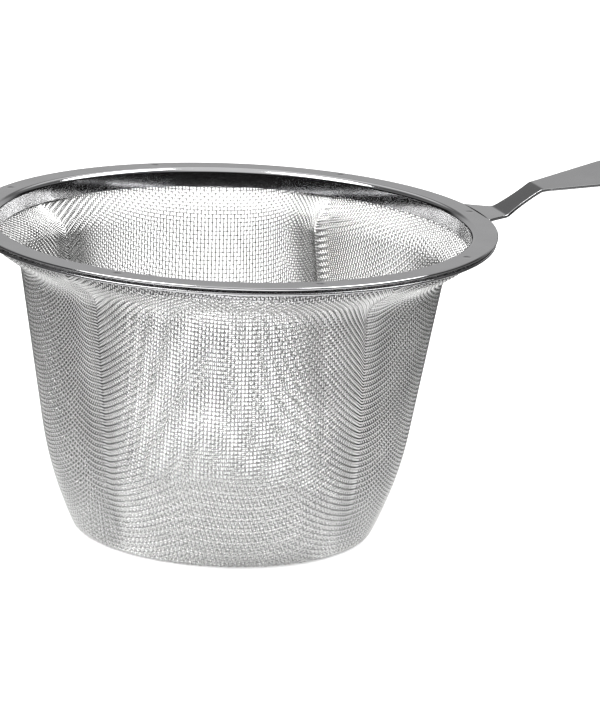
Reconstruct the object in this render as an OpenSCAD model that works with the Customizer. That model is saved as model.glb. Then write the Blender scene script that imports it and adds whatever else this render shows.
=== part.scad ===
// Basket strainer: a woven wire basket clamped under a flat steel rim with a handle.
//
// Row frame: origin at the centre of the basket's base, on the plane it stands on.
// X runs along the handle, Z runs up. Millimetres.

/* [Rim] */
// Outer diameter of the rim
rim_d = 88; // [80:1:100]
// Width of the flat flange, from the outer edge to the start of the inner bend
flange_w = 3.5; // [3.2:0.1:5]
// Depth of the skirt below the top of the flange
skirt_h = 3.3; // [2.8:0.1:4]
// Inward lean of the skirt from upright
skirt_lean = 8; // [0:1:12]
// Thickness of the rim and handle sheet
sheet_t = 0.5; // [0.4:0.05:0.6]
// Number of spot welds round the rim
weld_n = 8; // [6:1:12]

/* [Basket] */
// Height from the base to the top of the rim
height = 52.3; // [46:0.1:60]
// Basket diameter just below the shoulder
neck_d = 69.8; // [66:0.2:72]
// Lean of the straight upper wall from upright
wall_lean = 9.4; // [8:0.2:11]
// Height below which the wall curves in towards the base
belly_top = 18; // [14:0.5:22]
// Radius of that curve, seen from the side
belly_r = 65; // [55:1:80]
// Diameter of one wire of the cloth
wire_d = 0.22; // [0.18:0.01:0.26]

/* [Handle] */
// Reach of the handle beyond the rim
handle_reach = 34; // [30:1:60]
// Width of the handle where it leaves the rim
root_w = 10.4; // [8:0.2:12]
// Width of the handle at its narrowest
neck_w = 5.4; // [4.6:0.2:7]
// Width of the rounded paddle at the end
paddle_w = 15.5; // [12:0.5:18]
// Angle of the rising part
rise_angle = 33; // [25:1:40]
// Angle of the paddle above level
paddle_angle = 8; // [0:1:15]

/* [Hidden] */
$fn = 96;

rim_r = rim_d / 2;
bend_r = 0.5;                                // inside radius of the flange-to-skirt bend
flange_r = rim_r - flange_w;                 // where the flat of the flange ends
skirt_len = (skirt_h - sheet_t - bend_r * (1 - sin(skirt_lean))) / cos(skirt_lean);
cloth_t = 2 * wire_d;                        // a plain weave is two wires thick
ring_r = rim_r - 0.25;                       // outer radius of the clamp ring
ring_top = height - sheet_t - cloth_t;       // underside of the clamped cloth
cloth_edge = 0.35;                           // cloth trimmed this far inside the ring
weld_d = 1.6;
dimple_depth = 0.06;                         // mark the weld leaves on the flange

// Cloth meridian, mid surface: base, heel, belly, straight wall, shoulder, collar, clamped edge.
base_z = cloth_t / 2;                        // mid plane of the base cloth
heel_r = 0.8;                                // crisp heel round the base
neck_bend = 5;                               // bend radius from the wall into the shoulder
shoulder_angle = 55;                         // slope of the shoulder from vertical
shoulder_bend = 2;                           // bend radius from the shoulder into the collar
collar_r = flange_r - bend_r + cloth_t / 2 + 0.3;
collar_bend = cloth_t;                       // bend of the collar into the clamp
clamp_z = height - sheet_t - cloth_t / 2;    // mid plane of the clamped cloth
collar_z = clamp_z - collar_bend - 0.9;      // bottom of the upright collar
ring_bore_r = collar_r + collar_bend + 0.08; // the clamp ring clears the cloth's bend
weld_r = (ring_bore_r + ring_r) / 2 - 0.25;  // pitch circle of the spot welds

// The shoulder: its lower end leaves the wall smoothly, its upper end meets the collar.
turn_run = neck_bend * (cos(wall_lean) - cos(shoulder_angle))
    + shoulder_bend * (1 - cos(shoulder_angle));
turn_rise = neck_bend * (sin(shoulder_angle) - sin(wall_lean))
    + shoulder_bend * sin(shoulder_angle);
slope_run = collar_r - neck_d / 2 - turn_run;
neck = [neck_d / 2, collar_z - turn_rise - slope_run / tan(shoulder_angle)];

// The belly: an arc that continues the straight wall down to the heel.
wall_out = [cos(wall_lean), -sin(wall_lean)]; // outward from the straight wall
wall_foot = [neck[0] - (neck[1] - belly_top) * tan(wall_lean), belly_top];
belly_c = wall_foot - belly_r * wall_out;
heel_lean = asin((belly_c[1] - base_z - heel_r) / (belly_r - heel_r));
heel_c = belly_c + (belly_r - heel_r) * [cos(heel_lean), -sin(heel_lean)];

// Handle measured along the sheet.
root_flat = 3.2;                             // level part between the rim and the first bend
rise_len = 6.4;                              // straight part of the rise
fold_r = 1.6;                                // inside radius of both handle bends
lap = 0.02;                                  // straights run this far into the bends
waist_x = rim_r + 7.8;                       // where the handle is narrowest
waist_r = 11.6;                              // radius of the waist's curved edges
waist_turn = 20;                             // angle at which the edges leave the waist
paddle_x = rim_r + handle_reach - paddle_w / 2;
paddle_top = height + 30;                    // clears the highest point of the handle

// ---------- helpers ----------

// Points along a circular arc.
function arc(c, r, a0, a1, n = 8) =
    [for (i = [0:n]) let (a = a0 + (a1 - a0) * i / n) c + r * [cos(a), sin(a)]];

// Ring sector used for every sheet bend: inside radius r, thickness t, from angle a0 to a1.
module bend(r, t, a0, a1) {
    reach = 2 * (r + t);
    intersection() {
        difference() {
            circle(r + t);
            circle(r);
        }
        polygon([[0, 0], reach * [cos(a0), sin(a0)],
                 reach * [cos((a0 + a1) / 2), sin((a0 + a1) / 2)],
                 reach * [cos(a1), sin(a1)]]);
    }
}

// The cloth's meridian moved outward by d, from the axis to the top of the collar.
function meridian(d) = concat(
    [[0, base_z - d]],
    arc(heel_c, heel_r + d, -90, -heel_lean, 5),
    arc(belly_c, belly_r + d, -heel_lean, -wall_lean, 6),
    arc(neck + neck_bend * wall_out, neck_bend - d, 180 - wall_lean, 180 - shoulder_angle, 5),
    arc([collar_r - shoulder_bend, collar_z], shoulder_bend + d, -shoulder_angle, 0, 4),
    [[collar_r + d, clamp_z - collar_bend]]
);

function backwards(list) = [for (i = [len(list) - 1:-1:0]) list[i]];

// ---------- rim ----------

module rim_section() {
    lip_r = sheet_t / 2;
    translate([flange_r, height - sheet_t])
        square([flange_w - lip_r, sheet_t]);
    translate([rim_r - lip_r, height - lip_r])
        circle(lip_r);
    translate([flange_r, height - sheet_t - bend_r]) {
        bend(bend_r, sheet_t, 90, 180 - skirt_lean);
        rotate(-skirt_lean)
            translate([-bend_r - sheet_t, -skirt_len])
                square([sheet_t, skirt_len]);
    }
}

// Side view of the handle as a folded strip, its top face starting at the rim's top.
module handle_side() {
    start = rim_r - 1.5;
    fold_down = rise_angle - paddle_angle;
    outer = fold_r + sheet_t;
    translate([start, height]) {
        translate([0, -sheet_t])
            square([root_flat + 1.5 + lap, sheet_t]);
        translate([root_flat + 1.5, 0]) {
            translate([0, fold_r])
                bend(fold_r, sheet_t, -90, -90 + rise_angle);
            translate([fold_r * sin(rise_angle), fold_r * (1 - cos(rise_angle))])
                rotate(rise_angle) {
                    translate([-lap, -sheet_t])
                        square([rise_len + 2 * lap, sheet_t]);
                    translate([rise_len, -outer])
                        bend(fold_r, sheet_t, 90 - fold_down, 90);
                    translate([rise_len + outer * sin(fold_down), -outer * (1 - cos(fold_down))])
                        rotate(-fold_down)
                            translate([-lap, -sheet_t])
                                square([handle_reach + 5, sheet_t]);
                }
        }
    }
}

// Plan view of the handle: flared root, waist, straight flare, round end.
module handle_plan() {
    waist_y = neck_w / 2 + waist_r;
    turn_x = waist_x + waist_r * sin(waist_turn);
    turn_y = waist_y - waist_r * cos(waist_turn);
    tangent = asin(max(0, min(0.9, (paddle_w / 2 - turn_y) / (paddle_x - turn_x))));
    side_x = paddle_x - paddle_w / 2 * sin(tangent);
    side_y = paddle_w / 2 * cos(tangent);
    root_x = rim_r - 1.5;
    difference() {
        polygon([[root_x, -root_w / 2 - 1], [rim_r + 0.3, -root_w / 2 - 0.6],
                 [turn_x, -turn_y], [side_x, -side_y], [side_x, side_y],
                 [turn_x, turn_y], [rim_r + 0.3, root_w / 2 + 0.6], [root_x, root_w / 2 + 1]]);
        for (side = [-1, 1])
            translate([waist_x, side * waist_y])
                circle(waist_r);
    }
    translate([paddle_x, 0])
        circle(paddle_w / 2);
}

module handle() {
    intersection() {
        rotate([90, 0, 0])
            linear_extrude(height = paddle_w + 4, center = true)
                handle_side();
        linear_extrude(height = paddle_top)
            handle_plan();
    }
}

module at_welds() {
    for (i = [0:weld_n - 1])
        rotate([0, 0, i * 360 / weld_n])
            translate([weld_r, 0, 0])
                children();
}

module rim_plate() {
    color("silver")
        difference() {
            union() {
                rotate_extrude()
                    rim_section();
                handle();
            }
            at_welds()
                translate([0, 0, height - dimple_depth])
                    cylinder(d = weld_d, h = 1);
        }
}

module under_ring() {
    lip_r = sheet_t / 2;
    color("silver")
        rotate_extrude() {
            translate([ring_bore_r, ring_top - sheet_t])
                square([ring_r - lip_r - ring_bore_r, sheet_t]);
            translate([ring_r - lip_r, ring_top - lip_r])
                circle(lip_r);
        }
}

module spot_welds() {
    color("gray")
        at_welds()
            translate([0, 0, ring_top])
                cylinder(d = weld_d, h = cloth_t);
}

// ---------- basket ----------

module clamped_edge() {
    rotate_extrude()
        translate([collar_r + collar_bend, clamp_z - cloth_t / 2])
            square([ring_r - cloth_edge - collar_r - collar_bend, cloth_t]);
    rotate_extrude()
        translate([collar_r + collar_bend, clamp_z - collar_bend])
            bend(collar_bend - cloth_t / 2, cloth_t, 90, 180);
}

module mesh_basket() {
    half_t = cloth_t / 2;
    color("lightgray")
        difference() {
            union() {
                rotate_extrude()
                    polygon(concat(meridian(half_t), backwards(meridian(-half_t))));
                clamped_edge();
            }
            at_welds()
                translate([0, 0, clamp_z - cloth_t])
                    cylinder(d = weld_d, h = 2 * cloth_t);
        }
}

rim_plate();
under_ring();
spot_welds();
mesh_basket();
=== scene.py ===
"""Looks of the basket strainer: a basket of woven wire cloth, a polished steel rim, a white studio."""

import math

import bmesh
import bpy
import numpy as np
from mathutils import Matrix, Vector


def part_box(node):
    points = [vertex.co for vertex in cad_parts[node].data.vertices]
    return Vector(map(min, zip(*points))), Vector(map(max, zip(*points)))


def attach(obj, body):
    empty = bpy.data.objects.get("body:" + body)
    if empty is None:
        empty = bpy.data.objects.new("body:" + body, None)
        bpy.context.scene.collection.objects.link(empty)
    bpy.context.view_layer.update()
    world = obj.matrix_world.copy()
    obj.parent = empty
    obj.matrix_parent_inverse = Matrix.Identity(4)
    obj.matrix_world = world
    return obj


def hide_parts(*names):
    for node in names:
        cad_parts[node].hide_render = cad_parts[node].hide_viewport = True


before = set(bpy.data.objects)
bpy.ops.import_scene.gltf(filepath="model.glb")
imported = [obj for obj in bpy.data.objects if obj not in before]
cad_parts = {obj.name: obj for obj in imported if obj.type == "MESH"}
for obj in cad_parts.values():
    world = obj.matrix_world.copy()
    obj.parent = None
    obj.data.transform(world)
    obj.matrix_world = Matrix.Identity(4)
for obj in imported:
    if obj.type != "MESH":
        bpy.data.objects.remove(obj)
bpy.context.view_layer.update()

MM = 0.001
QUARTER = math.pi / 2
TINY = 1e-6

# ---------- cloth, in millimetres ----------

WIRE_D = 0.22
PITCH = 0.67
CLOTH_T = 2 * WIRE_D
CLAMP_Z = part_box("mesh_basket")[1].z / MM - CLOTH_T / 2  # mid plane of the clamped edge
EDGE_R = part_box("mesh_basket")[1].y / MM  # where the cloth is trimmed

# The formed surface, from the base up.
BASE_Z = CLOTH_T / 2
HEEL_R = 0.8
BELLY_TOP = 18.0  # the wall is straight above this height
BELLY_R = 65.0
WALL_LEAN = math.radians(9.4)
NECK_R = 34.9
NECK_BEND = 5.0
SHOULDER = math.radians(55)
SHOULDER_BEND = 2.0
COLLAR_R = 40.52
COLLAR_BEND = CLOTH_T
COLLAR_H = 0.9
COLLAR_Z = CLAMP_Z - COLLAR_BEND - COLLAR_H

# How the flat cloth lies on it.
WALL_STRETCH = 1.1  # the pressed wall is drawn this much longer than the flat cloth
CLOTH_TURN = math.radians(-14.5)  # the wires' directions from the handle's line
FOLD_DRIFT = [math.radians(a) for a in (15, 7, 0, -10)]  # turn of each fold line's top from its diagonal
EVEN_SHARE = 0.12  # share of even spreading, so that wires never quite meet at a fold
GROOVE_DEPTH = np.array((1.3, 0.9, 1.5, 0.6))  # how far the cloth sinks in along each fold line
GROOVE_HALF = 1.0  # half width of that groove
GROOVE_FADE = 3.0  # height over which it runs out into the shoulder
GROOVE_TOP = COLLAR_Z - 1.0

# How each wire is made.
SIDES = 6
KNUCKLE = 0.2  # half length of a wire's flat top over a crossing, in pitches
END_GAP = 0.05  # least distance from the last knuckle to the wire's end, in pitches
LINE_STEP = 0.05  # spacing of the points along the meridian
MAX_PIECE_QUADS = 90_000


# ---------- the basket's meridian ----------


def arc_points(centre, radius, start, end):
    """Points along a circular arc, angles in radians."""
    count = max(2, int(abs(end - start) * radius / LINE_STEP))
    a = np.linspace(start, end, count)
    return np.column_stack([centre[0] + radius * np.cos(a), centre[1] + radius * np.sin(a)])


def neck_height():
    """Height at which the wall bends into the shoulder."""
    neck_run = NECK_BEND * (math.cos(WALL_LEAN) - math.cos(SHOULDER))
    neck_rise = NECK_BEND * (math.sin(SHOULDER) - math.sin(WALL_LEAN))
    top_run = SHOULDER_BEND * (1 - math.cos(SHOULDER))
    top_rise = SHOULDER_BEND * math.sin(SHOULDER)
    slope_run = COLLAR_R - NECK_R - neck_run - top_run
    return COLLAR_Z - neck_rise - top_rise - slope_run / math.tan(SHOULDER)


def meridian():
    """Length along the cloth's middle surface, radius and height, from the axis to the clamped edge."""
    wall_out = np.array((math.cos(WALL_LEAN), -math.sin(WALL_LEAN)))
    neck = np.array((NECK_R, NECK_Z))
    foot = np.array((NECK_R - (NECK_Z - BELLY_TOP) * math.tan(WALL_LEAN), BELLY_TOP))
    belly_c = foot - BELLY_R * wall_out
    heel_lean = math.asin((belly_c[1] - BASE_Z - HEEL_R) / (BELLY_R - HEEL_R))
    heel_c = belly_c + (BELLY_R - HEEL_R) * np.array((math.cos(heel_lean), -math.sin(heel_lean)))
    clamp_c = (COLLAR_R + COLLAR_BEND, CLAMP_Z - COLLAR_BEND)
    runs = [
        [(0.0, BASE_Z)],
        arc_points(heel_c, HEEL_R, -QUARTER, -heel_lean),
        arc_points(belly_c, BELLY_R, -heel_lean, -WALL_LEAN),
        arc_points(neck + NECK_BEND * wall_out, NECK_BEND, math.pi - WALL_LEAN, math.pi - SHOULDER),
        arc_points((COLLAR_R - SHOULDER_BEND, COLLAR_Z), SHOULDER_BEND, -SHOULDER, 0),
        arc_points(clamp_c, COLLAR_BEND, math.pi, QUARTER),
        [(EDGE_R - WIRE_D / 2, CLAMP_Z)],
    ]
    line = np.vstack(runs)
    steps = np.hypot(*np.diff(line, axis=0).T)
    line = line[np.concatenate([[True], steps > TINY])]
    s = np.concatenate([[0], np.cumsum(np.hypot(*np.diff(line, axis=0).T))])
    even = np.arange(0, s[-1], LINE_STEP)
    return even, np.interp(even, s, line[:, 0]), np.interp(even, s, line[:, 1])


def flat_length(surface, height):
    """Length of flat cloth, from its centre, that each length along the formed surface came from."""
    drawn = np.clip(height / BELLY_TOP, 0, 1)
    stretch = 1 + (WALL_STRETCH - 1) * drawn
    steps = np.diff(surface) * 2 / (stretch[1:] + stretch[:-1])
    return np.concatenate([[0], np.cumsum(steps)])


NECK_Z = neck_height()
SURFACE_LINE, R_LINE, Z_LINE = meridian()
S_LINE = flat_length(SURFACE_LINE, Z_LINE)
S_EDGE = S_LINE[-1]
SLOPE_R = np.gradient(R_LINE, S_LINE)
SLOPE_Z = np.gradient(Z_LINE, S_LINE)
WALL_START = int(np.argmax(Z_LINE > BASE_Z + 0.01))  # the first point above the flat base
S_FOOT = S_LINE[WALL_START]
S_NECK = float(np.interp(NECK_Z, Z_LINE[WALL_START:], S_LINE[WALL_START:]))


def form(u, v):
    """Places points of the flat cloth on the formed basket: positions and outward normals.

    Along the four wire directions the wires keep their spacing round the basket. Between them the
    spare cloth crowds towards four fold lines, and sinks into a shallow groove along each.
    """
    s = np.hypot(u, v)
    a = np.arctan2(v, u)
    r = np.interp(s, S_LINE, R_LINE)
    z = np.interp(s, S_LINE, Z_LINE)
    climb = np.clip((s - S_FOOT) / (S_NECK - S_FOOT), 0, 1)

    sector = np.round(a / QUARTER)
    off = a - sector * QUARTER
    side = np.where(off < 0, -1.0, 1.0)
    fold = (sector + (side - 1) / 2).astype(int) % 4
    half = QUARTER / 2 + side * np.array(FOLD_DRIFT)[fold] * climb
    share = np.abs(off) / (QUARTER / 2)
    crowd = np.maximum(1.0, s / np.maximum(r, TINY) * (QUARTER / 2) / half)
    power = (crowd - EVEN_SHARE) / (1 - EVEN_SHARE)
    turn = side * half * ((1 - EVEN_SHARE) * (1 - (1 - share) ** power) + EVEN_SHARE * share)
    theta = sector * QUARTER + turn + CLOTH_TURN

    beside = (half - np.abs(turn)) * r / GROOVE_HALF
    fade = climb * np.clip((GROOVE_TOP - z) / GROOVE_FADE, 0, 1)
    r = r - GROOVE_DEPTH[fold] * fade * np.exp(-(beside**2))

    slope_r = np.interp(s, S_LINE, SLOPE_R)
    slope_z = np.interp(s, S_LINE, SLOPE_Z)
    cos, sin = np.cos(theta), np.sin(theta)
    place = np.column_stack([r * cos, r * sin, z])
    normal = np.column_stack([slope_z * cos, slope_z * sin, -slope_r])
    return place, normal / np.hypot(slope_r, slope_z)[:, None]


# ---------- wires ----------


def unit(a):
    """The rows of an array, each scaled to length 1."""
    return a / np.linalg.norm(a, axis=1)[:, None]


def wire_rings(index, is_warp):
    """Rings of SIDES points round one woven wire, index pitches from the cloth's centre line."""
    line = index * PITCH
    reach = math.sqrt(S_EDGE**2 - line**2)
    last = int(reach / PITCH - KNUCKLE - END_GAP)
    crossing = np.repeat(np.arange(-last, last + 1), 2)
    along = (crossing + np.tile([-KNUCKLE, KNUCKLE], 2 * last + 1)) * PITCH
    lift = np.where((crossing + index) % 2 == 0, 1.0, -1.0)
    along = np.concatenate([[-reach], along, [reach]])
    lift = np.concatenate([[lift[0]], lift, [lift[-1]]])
    rest = np.full_like(along, line)
    if is_warp:
        place, normal = form(along, rest)
    else:
        place, normal = form(rest, along)
        lift = -lift
    centre = place + normal * (lift * WIRE_D / 2)[:, None]
    tangent = unit(np.gradient(centre, axis=0))
    side = unit(np.cross(tangent, normal))
    up = np.cross(side, tangent)
    a = (np.arange(SIDES) * 2 * math.pi / SIDES)[None, :, None]
    ring = np.cos(a) * up[:, None, :] + np.sin(a) * side[:, None, :]
    return centre[:, None, :] + ring * WIRE_D / 2


def tube_mesh(name, wires):
    """One mesh of closed tubes from a list of ring arrays."""
    quads, ends, start = [], [], 0
    around = np.arange(SIDES)
    turn = (around + 1) % SIDES
    for rings in wires:
        first = start + np.arange(len(rings) - 1)[:, None] * SIDES
        faces = np.stack([first + around, first + turn, first + SIDES + turn, first + SIDES + around], -1)
        quads.append(faces.reshape(-1, 4))
        ends.append(start + around[::-1])
        ends.append(start + (len(rings) - 1) * SIDES + around)
        start += len(rings) * SIDES
    points = np.concatenate([w.reshape(-1, 3) for w in wires]) * MM
    quads = np.concatenate(quads)
    ends = np.array(ends)
    corners = np.concatenate([quads.ravel(), ends.ravel()])
    totals = np.concatenate([np.full(len(quads), 4), np.full(len(ends), SIDES)])
    starts = np.concatenate([[0], np.cumsum(totals)[:-1]])
    mesh = bpy.data.meshes.new(name)
    mesh.vertices.add(len(points))
    mesh.vertices.foreach_set("co", points.astype(np.float32).ravel())
    mesh.loops.add(len(corners))
    mesh.loops.foreach_set("vertex_index", corners.astype(np.int32))
    mesh.polygons.add(len(totals))
    mesh.polygons.foreach_set("loop_start", starts.astype(np.int32))
    mesh.polygons.foreach_set("use_smooth", np.ones(len(totals), bool))
    mesh.update(calc_edges=True)
    mesh.validate()
    return mesh


def add_piece(name, mesh, material, node):
    """A piece of the strainer that stands for a CAD node."""
    piece = bpy.data.objects.new(name, mesh)
    bpy.context.scene.collection.objects.link(piece)
    mesh.materials.append(material)
    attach(piece, "root")
    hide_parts(node)


def add_cloth(material):
    """The woven basket, in pieces of neighbouring wires."""
    count = int(S_EDGE / PITCH - 2)
    for family in ("warp", "weft"):
        batch, quads, number = [], 0, 1
        for index in range(-count, count + 1):
            rings = wire_rings(index, family == "warp")
            batch.append(rings)
            quads += len(rings) * SIDES
            if quads > MAX_PIECE_QUADS or index == count:
                name = f"cloth_{family}_{number:02d}"
                add_piece(name, tube_mesh(name, batch), material, "mesh_basket")
                batch, quads, number = [], 0, number + 1


# ---------- rim and handle, in millimetres ----------

SHEET_T = 0.5
LIP_R = SHEET_T / 2
RIM_TOP = CLAMP_Z + CLOTH_T / 2 + SHEET_T
RIM_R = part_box("rim_plate")[1].y / MM
TIP_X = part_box("rim_plate")[1].x / MM
FLANGE_W = 3.5  # from the outer edge to the start of the inner bend
FLANGE_R = RIM_R - FLANGE_W
BEND_R = 0.5
SKIRT_LEAN = math.radians(8)
SKIRT_H = 3.3
AROUND = 720  # steps round the rim
FLANGE_STEPS = 28  # steps across its flat, so that the dimples come out round
SHARP = math.radians(35)  # steeper edges than this stay sharp

WELDS = 8
WELD_RADIUS = 0.8
RING_R = RIM_R - 0.25  # the clamp ring under the rim
RING_BORE_R = COLLAR_R + COLLAR_BEND + 0.08
WELD_RING = (RING_BORE_R + RING_R) / 2 - 0.25
DIMPLE = 0.06  # depth of the mark that each weld leaves
DIMPLE_EDGE = 0.3  # width of its sloping edge

ROOT_FLAT = 3.2
RISE_ANGLE = math.radians(33)
RISE_LEN = 6.4
PADDLE_ANGLE = math.radians(8)
FOLD_R = 1.6
ROOT_HALF = 5.8
ROOT_BLEND = 2.0  # length over which the root's curved end straightens
WAIST_X = RIM_R + 7.8
WAIST_HALF = 2.7
WAIST_R = 11.6
WAIST_TURN = math.radians(20)
PADDLE_R = 7.75
TIP_GAP = 0.02
EDGE_ROUND = 0.1
CORNER_POINTS = 5
HANDLE_STEP = 0.1


def grid_mesh(name, grid, close_rows):
    """Mesh of a grid of points in millimetres. Columns close; rows close too, or end in flat caps."""
    rows, columns = grid.shape[:2]
    index = np.arange(rows * columns).reshape(rows, columns)
    beside = np.roll(index, -1, axis=1)
    above = np.roll(index, -1, axis=0)
    faces = np.stack([index, beside, np.roll(beside, -1, axis=0), above], -1)
    if close_rows:
        faces = faces.reshape(-1, 4).tolist()
    else:
        faces = faces[:-1].reshape(-1, 4).tolist() + [index[0, ::-1].tolist(), index[-1].tolist()]
    mesh = bpy.data.meshes.new(name)
    mesh.from_pydata((grid.reshape(-1, 3) * MM).tolist(), [], faces)
    shell = bmesh.new()
    shell.from_mesh(mesh)
    bmesh.ops.recalc_face_normals(shell, faces=shell.faces)
    shell.to_mesh(mesh)
    shell.free()
    mesh.polygons.foreach_set("use_smooth", [True] * len(mesh.polygons))
    mesh.set_sharp_from_angle(angle=SHARP)
    return mesh


def rim_profile():
    """Closed outline of the rim's section: flange top, rolled lip, underside, bend and skirt."""
    drop = (SKIRT_H - SHEET_T - BEND_R * (1 - math.sin(SKIRT_LEAN))) / math.cos(SKIRT_LEAN)
    down = np.array((-math.sin(SKIRT_LEAN), -math.cos(SKIRT_LEAN))) * drop
    centre = (FLANGE_R, RIM_TOP - SHEET_T - BEND_R)
    under = arc_points(centre, BEND_R, QUARTER, math.pi - SKIRT_LEAN)
    over = arc_points(centre, BEND_R + SHEET_T, math.pi - SKIRT_LEAN, QUARTER)
    top_r = np.linspace(FLANGE_R, RIM_R - LIP_R, FLANGE_STEPS + 2)[1:-1]
    runs = [
        np.column_stack([top_r, np.full_like(top_r, RIM_TOP)]),
        arc_points((RIM_R - LIP_R, RIM_TOP - LIP_R), LIP_R, QUARTER, -QUARTER),
        under,
        [under[-1] + down, over[0] + down],
        over,
    ]
    return np.vstack(runs)


def add_rim(material):
    """The rim, turned from its section, with a shallow dimple over each weld."""
    profile = rim_profile()
    a = (np.arange(AROUND) * 2 * math.pi / AROUND)[:, None]
    x = profile[:, 0] * np.cos(a)
    y = profile[:, 0] * np.sin(a)
    z = profile[:, 1] + 0 * a
    spoke = 2 * math.pi / WELDS
    nearest = np.round(a / spoke) * spoke
    away = np.hypot(x - WELD_RING * np.cos(nearest), y - WELD_RING * np.sin(nearest))
    on_top = z > RIM_TOP - TINY
    z = z - on_top * DIMPLE * np.clip((WELD_RADIUS - away) / DIMPLE_EDGE, 0, 1)
    mesh = grid_mesh("rim", np.stack([x, y, z], -1), close_rows=True)
    add_piece("rim", mesh, material, "rim_plate")


def handle_steps(length):
    """Whole steps along that length of the handle."""
    return int(length / HANDLE_STEP)


def handle_path():
    """Middle of the handle's sheet seen from the side: x, height and slope, from the rim to the tip."""
    mid_r = FOLD_R + LIP_R
    fold_down = RISE_ANGLE - PADDLE_ANGLE
    runs = [
        np.zeros(handle_steps(ROOT_FLAT + LIP_R)),
        np.linspace(0, RISE_ANGLE, handle_steps(mid_r * RISE_ANGLE) + 2),
        np.full(handle_steps(RISE_LEN), RISE_ANGLE),
        np.linspace(RISE_ANGLE, PADDLE_ANGLE, handle_steps(mid_r * fold_down) + 2),
        np.full(handle_steps(TIP_X - RIM_R), PADDLE_ANGLE),
    ]
    slope = np.concatenate(runs)
    x = RIM_R - LIP_R + np.concatenate([[0], np.cumsum(np.cos(slope[:-1]))]) * HANDLE_STEP
    z = RIM_TOP - LIP_R + np.concatenate([[0], np.cumsum(np.sin(slope[:-1]))]) * HANDLE_STEP
    keep = x < TIP_X - TIP_GAP
    return x[keep], z[keep], slope[keep]


def handle_half(x):
    """Half the handle's width in plan: flared root, waist, straight flare and round end."""
    waist_y = WAIST_HALF + WAIST_R
    root = waist_y - np.sqrt(WAIST_R**2 - np.minimum(np.abs(x - WAIST_X), WAIST_R) ** 2)
    turn_x = WAIST_X + WAIST_R * math.sin(WAIST_TURN)
    turn_y = waist_y - WAIST_R * math.cos(WAIST_TURN)
    paddle_x = TIP_X - PADDLE_R
    tangent = math.asin((PADDLE_R - turn_y) / (paddle_x - turn_x))
    side_x = paddle_x - PADDLE_R * math.sin(tangent)
    side_y = PADDLE_R * math.cos(tangent)
    flare = turn_y + (x - turn_x) * (side_y - turn_y) / (side_x - turn_x)
    end = np.sqrt(np.maximum(PADDLE_R**2 - (x - paddle_x) ** 2, TINY))
    return np.where(x < turn_x, np.minimum(root, ROOT_HALF), np.where(x < side_x, flare, end))


def strip_outline(half):
    """Points round a strip's section, across and up: flat faces between four rounded edges.

    Each edge has one more point on the flat beside it, which keeps the flat's shading level.
    """
    soft = np.minimum(EDGE_ROUND, half / 2)
    outline = []
    for turn, (side, face) in enumerate(((1, 1), (-1, 1), (-1, -1), (1, -1))):
        a = np.linspace(0, QUARTER, CORNER_POINTS) + turn * QUARTER
        across = side * (half - soft) + soft * np.cos(a)
        lift = face * (LIP_R - soft) + soft * np.sin(a)
        edge = np.stack([across, lift])
        flat = np.stack([side * (half - 2 * soft), face * LIP_R + 0 * half])
        outline += [flat, edge] if turn % 2 else [edge, flat]
    return np.concatenate(outline, axis=-1)


def add_handle(material):
    """The handle, a folded strip with softened edges that grows out of the rim."""
    x, z, slope = (column[:, None] for column in handle_path())
    across, lift = strip_outline(handle_half(x))
    start_r = RIM_R - LIP_R
    bow = start_r - np.sqrt(start_r**2 - across**2)
    shift = bow * np.clip(1 - (x - start_r) / ROOT_BLEND, 0, 1)
    points = np.stack([x - np.sin(slope) * lift - shift, across, z + np.cos(slope) * lift], -1)
    add_piece("handle", grid_mesh("handle", points, close_rows=False), material, "rim_plate")


# ---------- materials ----------


def noise(tree, scale, detail):
    """Noise in the object's own coordinates."""
    place = tree.nodes.new("ShaderNodeTexCoord")
    texture = tree.nodes.new("ShaderNodeTexNoise")
    texture.inputs["Scale"].default_value = scale
    texture.inputs["Detail"].default_value = detail
    tree.links.new(place.outputs["Object"], texture.inputs["Vector"])
    return texture.outputs["Fac"]


def ramp(tree, source, low, high):
    """A colour that runs from low to high over the middle of the source's range."""
    node = tree.nodes.new("ShaderNodeValToRGB")
    for element, colour, at in zip(node.color_ramp.elements, (low, high), (0.3, 0.7)):
        element.position = at
        element.color = (*colour, 1)
    tree.links.new(source, node.inputs["Fac"])
    return node.outputs["Color"]


def steel(name, dark, light, rough, grain, bump):
    """Stainless steel: faint mottling from dark to light, roughness between two values, fine grain."""
    material = bpy.data.materials.new(name)
    material.use_nodes = True
    tree = material.node_tree
    shader = tree.nodes["Principled BSDF"]
    shader.inputs["Metallic"].default_value = 1.0
    mottle = noise(tree, 120.0, 2.0)
    fine = noise(tree, grain, 3.0)
    tree.links.new(ramp(tree, mottle, dark, light), shader.inputs["Base Color"])
    smooth, matt = ((value,) * 3 for value in rough)
    tree.links.new(ramp(tree, fine, smooth, matt), shader.inputs["Roughness"])
    relief = tree.nodes.new("ShaderNodeBump")
    relief.inputs["Strength"].default_value = bump
    relief.inputs["Distance"].default_value = 0.02 * MM
    tree.links.new(fine, relief.inputs["Height"])
    tree.links.new(relief.outputs["Normal"], shader.inputs["Normal"])
    return material


def dress(node, material):
    """Gives a CAD node its material."""
    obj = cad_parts[node]
    obj.data.materials.clear()
    obj.data.materials.append(material)


# ---------- camera ----------

AZIMUTH = math.radians(-19.5)
ELEVATION = math.radians(13.55)
DISTANCE = 0.748  # from the rim's centre, in metres
ROLL = math.radians(2.3)
SENSOR = 36.0
FOCAL = 6.252  # focal length over the picture's height
OFF_RIGHT = 0.01470  # slope of the aim away from the rim's centre
OFF_DOWN = 0.03072


def towards(azimuth, elevation):
    """Unit vector from the strainer to that bearing round it, counted from the front, and that height."""
    return Vector(
        (
            math.sin(azimuth) * math.cos(elevation),
            -math.cos(azimuth) * math.cos(elevation),
            math.sin(elevation),
        )
    )


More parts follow.
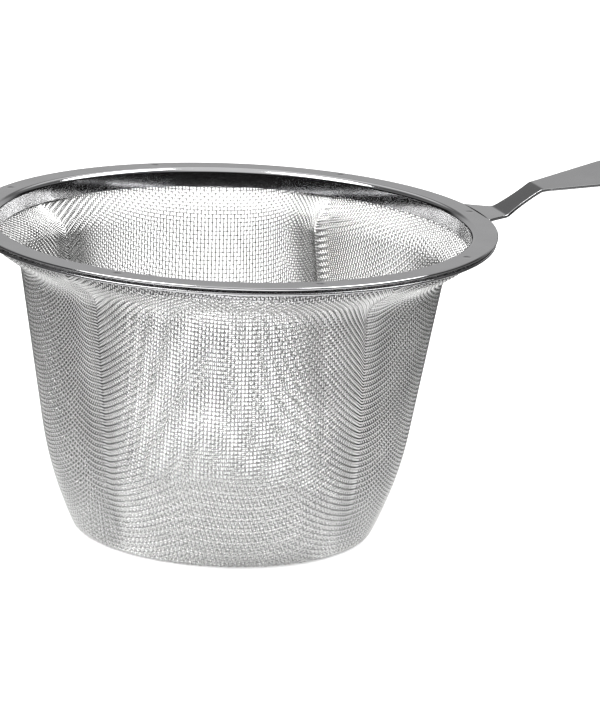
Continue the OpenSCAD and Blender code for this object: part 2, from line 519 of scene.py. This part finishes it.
def add_camera():
    """The camera circles the rim's centre and is aimed a little right of it and below it."""
    rim_centre = Vector((0, 0, RIM_TOP * MM))
    back = towards(AZIMUTH, ELEVATION)
    right = Vector((math.cos(AZIMUTH), math.sin(AZIMUTH), 0))
    up = back.cross(right)
    right, up = (
        math.cos(ROLL) * right + math.sin(ROLL) * up,
        -math.sin(ROLL) * right + math.cos(ROLL) * up,
    )
    forward = (-back + OFF_RIGHT * right - OFF_DOWN * up).normalized()
    right = (right - right.dot(forward) * forward).normalized()
    up = right.cross(forward)
    data = bpy.data.cameras.new("camera")
    data.sensor_width = SENSOR
    data.lens = FOCAL * SENSOR
    data.clip_start = 0.01
    camera = bpy.data.objects.new("camera", data)
    bpy.context.scene.collection.objects.link(camera)
    turn = Matrix((right, up, -forward)).transposed()
    camera.matrix_world = Matrix.Translation(rim_centre + back * DISTANCE) @ turn.to_4x4()
    bpy.context.scene.camera = camera


# ---------- studio ----------

FLOOR_HALF = 6.0  # in metres
FLOOR_WHITE = 0.95
FLOOR_GLOW = 0.35  # light from under the floor, which keeps shadows on it faint
STRIP = (0.03, 0.09)  # the strip of floor that the steel mirrors ends between these distances aside
SIDE_GREY = 0.1  # the mirrored floor to either side of the strip
STRIP_REACH = (0.2, 0.6)  # the strip fades out between these distances from the object
FAR_GREY = 0.05

# Greys of the room that the steel mirrors, and the parts of a unit direction between which they blend.
FRONT_GREY = 0.012  # dark room on the viewer's side
BACK_GREY = 0.46  # studio wall behind the object
BACK_BLEND = (0.6, 0.9)
COVE_GREY = 0.17  # the wall's unlit top
COVE_BLEND = (0.3, 0.42)
CEILING_GREY = 0.85
CEILING_BLEND = (0.45, 0.6)
CEILING_SIDE_GREY = 0.12
CEILING_SIDE_BLEND = (0.25, 0.6)

SUN_ELEVATION = math.radians(55)
SUN_WIDTH = math.radians(40)
SUN_STRENGTH = 2.2


def blend_over(tree, value, span, low, high):
    """Runs smoothly from low to high, numbers or sockets, as the value runs over the span."""
    node = tree.nodes.new("ShaderNodeMapRange")
    node.interpolation_type = "SMOOTHSTEP"
    tree.links.new(value, node.inputs["Value"])
    for name, setting in (("From Min", span[0]), ("From Max", span[1]), ("To Min", low), ("To Max", high)):
        if isinstance(setting, bpy.types.NodeSocket):
            tree.links.new(setting, node.inputs[name])
        else:
            node.inputs[name].default_value = setting
    return node.outputs["Result"]


def studio_axes(tree, output):
    """Splits a place or direction into aside, behind and above: the studio faces the camera squarely."""
    place = tree.nodes.new("ShaderNodeTexCoord")
    turned = tree.nodes.new("ShaderNodeMapping")
    turned.inputs["Rotation"].default_value = (0, 0, -AZIMUTH)
    split = tree.nodes.new("ShaderNodeSeparateXYZ")
    aside = tree.nodes.new("ShaderNodeMath")
    aside.operation = "ABSOLUTE"
    tree.links.new(place.outputs[output], turned.inputs["Vector"])
    tree.links.new(turned.outputs["Vector"], split.inputs["Vector"])
    tree.links.new(split.outputs["X"], aside.inputs[0])
    return aside.outputs["Value"], split.outputs["Y"], split.outputs["Z"]


def shown_or_mirrored(tree, shown, mirrored, surface):
    """One shader for what is seen directly, another for what lights the steel and shows in it."""
    path = tree.nodes.new("ShaderNodeLightPath")
    mix = tree.nodes.new("ShaderNodeMixShader")
    tree.links.new(path.outputs["Is Camera Ray"], mix.inputs["Fac"])
    tree.links.new(mirrored, mix.inputs[1])
    tree.links.new(shown, mix.inputs[2])
    tree.links.new(mix.outputs["Shader"], surface)


def floor_material():
    """White, with a little light of its own; in the steel, a white strip on a dark floor."""
    material = bpy.data.materials.new("floor_white")
    material.use_nodes = True
    tree = material.node_tree
    tree.nodes.clear()
    white = tree.nodes.new("ShaderNodeBsdfDiffuse")
    white.inputs["Color"].default_value = (FLOOR_WHITE, FLOOR_WHITE, FLOOR_WHITE, 1)
    glow = tree.nodes.new("ShaderNodeEmission")
    glow.inputs["Strength"].default_value = FLOOR_GLOW
    shown = tree.nodes.new("ShaderNodeAddShader")
    tree.links.new(white.outputs["BSDF"], shown.inputs[0])
    tree.links.new(glow.outputs["Emission"], shown.inputs[1])
    aside, _, _ = studio_axes(tree, "Object")
    place = tree.nodes.new("ShaderNodeTexCoord")
    reach = tree.nodes.new("ShaderNodeVectorMath")
    reach.operation = "LENGTH"
    tree.links.new(place.outputs["Object"], reach.inputs[0])
    strip = blend_over(tree, aside, STRIP, 1.0, SIDE_GREY)
    grey = blend_over(tree, reach.outputs["Value"], STRIP_REACH, strip, FAR_GREY)
    mirrored = tree.nodes.new("ShaderNodeBsdfDiffuse")
    tree.links.new(grey, mirrored.inputs["Color"])
    out = tree.nodes.new("ShaderNodeOutputMaterial")
    shown_or_mirrored(tree, shown.outputs["Shader"], mirrored.outputs["BSDF"], out.inputs["Surface"])
    return material


def add_floor():
    """A wide floor under the strainer."""
    mesh = bpy.data.meshes.new("floor")
    corners = [(x * FLOOR_HALF, y * FLOOR_HALF, 0) for x, y in ((-1, -1), (1, -1), (1, 1), (-1, 1))]
    mesh.from_pydata(corners, [], [(0, 1, 2, 3)])
    mesh.materials.append(floor_material())
    floor = bpy.data.objects.new("floor", mesh)
    bpy.context.scene.collection.objects.link(floor)


def add_world():
    """A white backdrop, which the steel mirrors as a grey room with a bright ceiling."""
    world = bpy.data.worlds.new("studio")
    world.use_nodes = True
    tree = world.node_tree
    room = tree.nodes["Background"]
    aside, behind, above = studio_axes(tree, "Generated")
    walls = blend_over(tree, behind, BACK_BLEND, FRONT_GREY, BACK_GREY)
    cove = blend_over(tree, above, COVE_BLEND, walls, COVE_GREY)
    ceiling = blend_over(tree, aside, CEILING_SIDE_BLEND, CEILING_GREY, CEILING_SIDE_GREY)
    grey = blend_over(tree, above, CEILING_BLEND, cove, ceiling)
    tree.links.new(grey, room.inputs["Color"])
    backdrop = tree.nodes.new("ShaderNodeBackground")
    backdrop.inputs["Color"].default_value = (1, 1, 1, 1)
    surface = tree.nodes["World Output"].inputs["Surface"]
    shown_or_mirrored(tree, backdrop.outputs["Background"], room.outputs["Background"], surface)
    bpy.context.scene.world = world


def add_sun(name, azimuth):
    """A wide, soft, distant light on that bearing round the object."""
    light = bpy.data.lights.new(name, "SUN")
    light.angle = SUN_WIDTH
    light.energy = SUN_STRENGTH
    lamp = bpy.data.objects.new(name, light)
    bpy.context.scene.collection.objects.link(lamp)
    lamp.rotation_euler = towards(azimuth, SUN_ELEVATION).to_track_quat("Z", "Y").to_euler()
    lamp.visible_camera = False


# ---------- the whole scene ----------

rim_steel = steel("rim_steel", (0.60, 0.60, 0.61), (0.66, 0.66, 0.67), (0.06, 0.11), 2500, 0.05)
ring_steel = steel("ring_steel", (0.56, 0.56, 0.57), (0.62, 0.62, 0.63), (0.15, 0.25), 2500, 0.05)
weld_steel = steel("weld_steel", (0.35, 0.35, 0.36), (0.50, 0.50, 0.50), (0.3, 0.5), 2500, 0.2)
cloth_steel = steel("cloth_steel", (0.62, 0.62, 0.615), (0.72, 0.72, 0.715), (0.08, 0.16), 5000, 0.1)

add_rim(rim_steel)
add_handle(rim_steel)
dress("under_ring", ring_steel)
dress("spot_welds", weld_steel)
add_cloth(cloth_steel)
add_floor()
add_world()
add_sun("left_box", math.radians(-80))
add_sun("right_box", math.radians(75))
add_camera()
bpy.context.scene.view_settings.view_transform = "Standard"
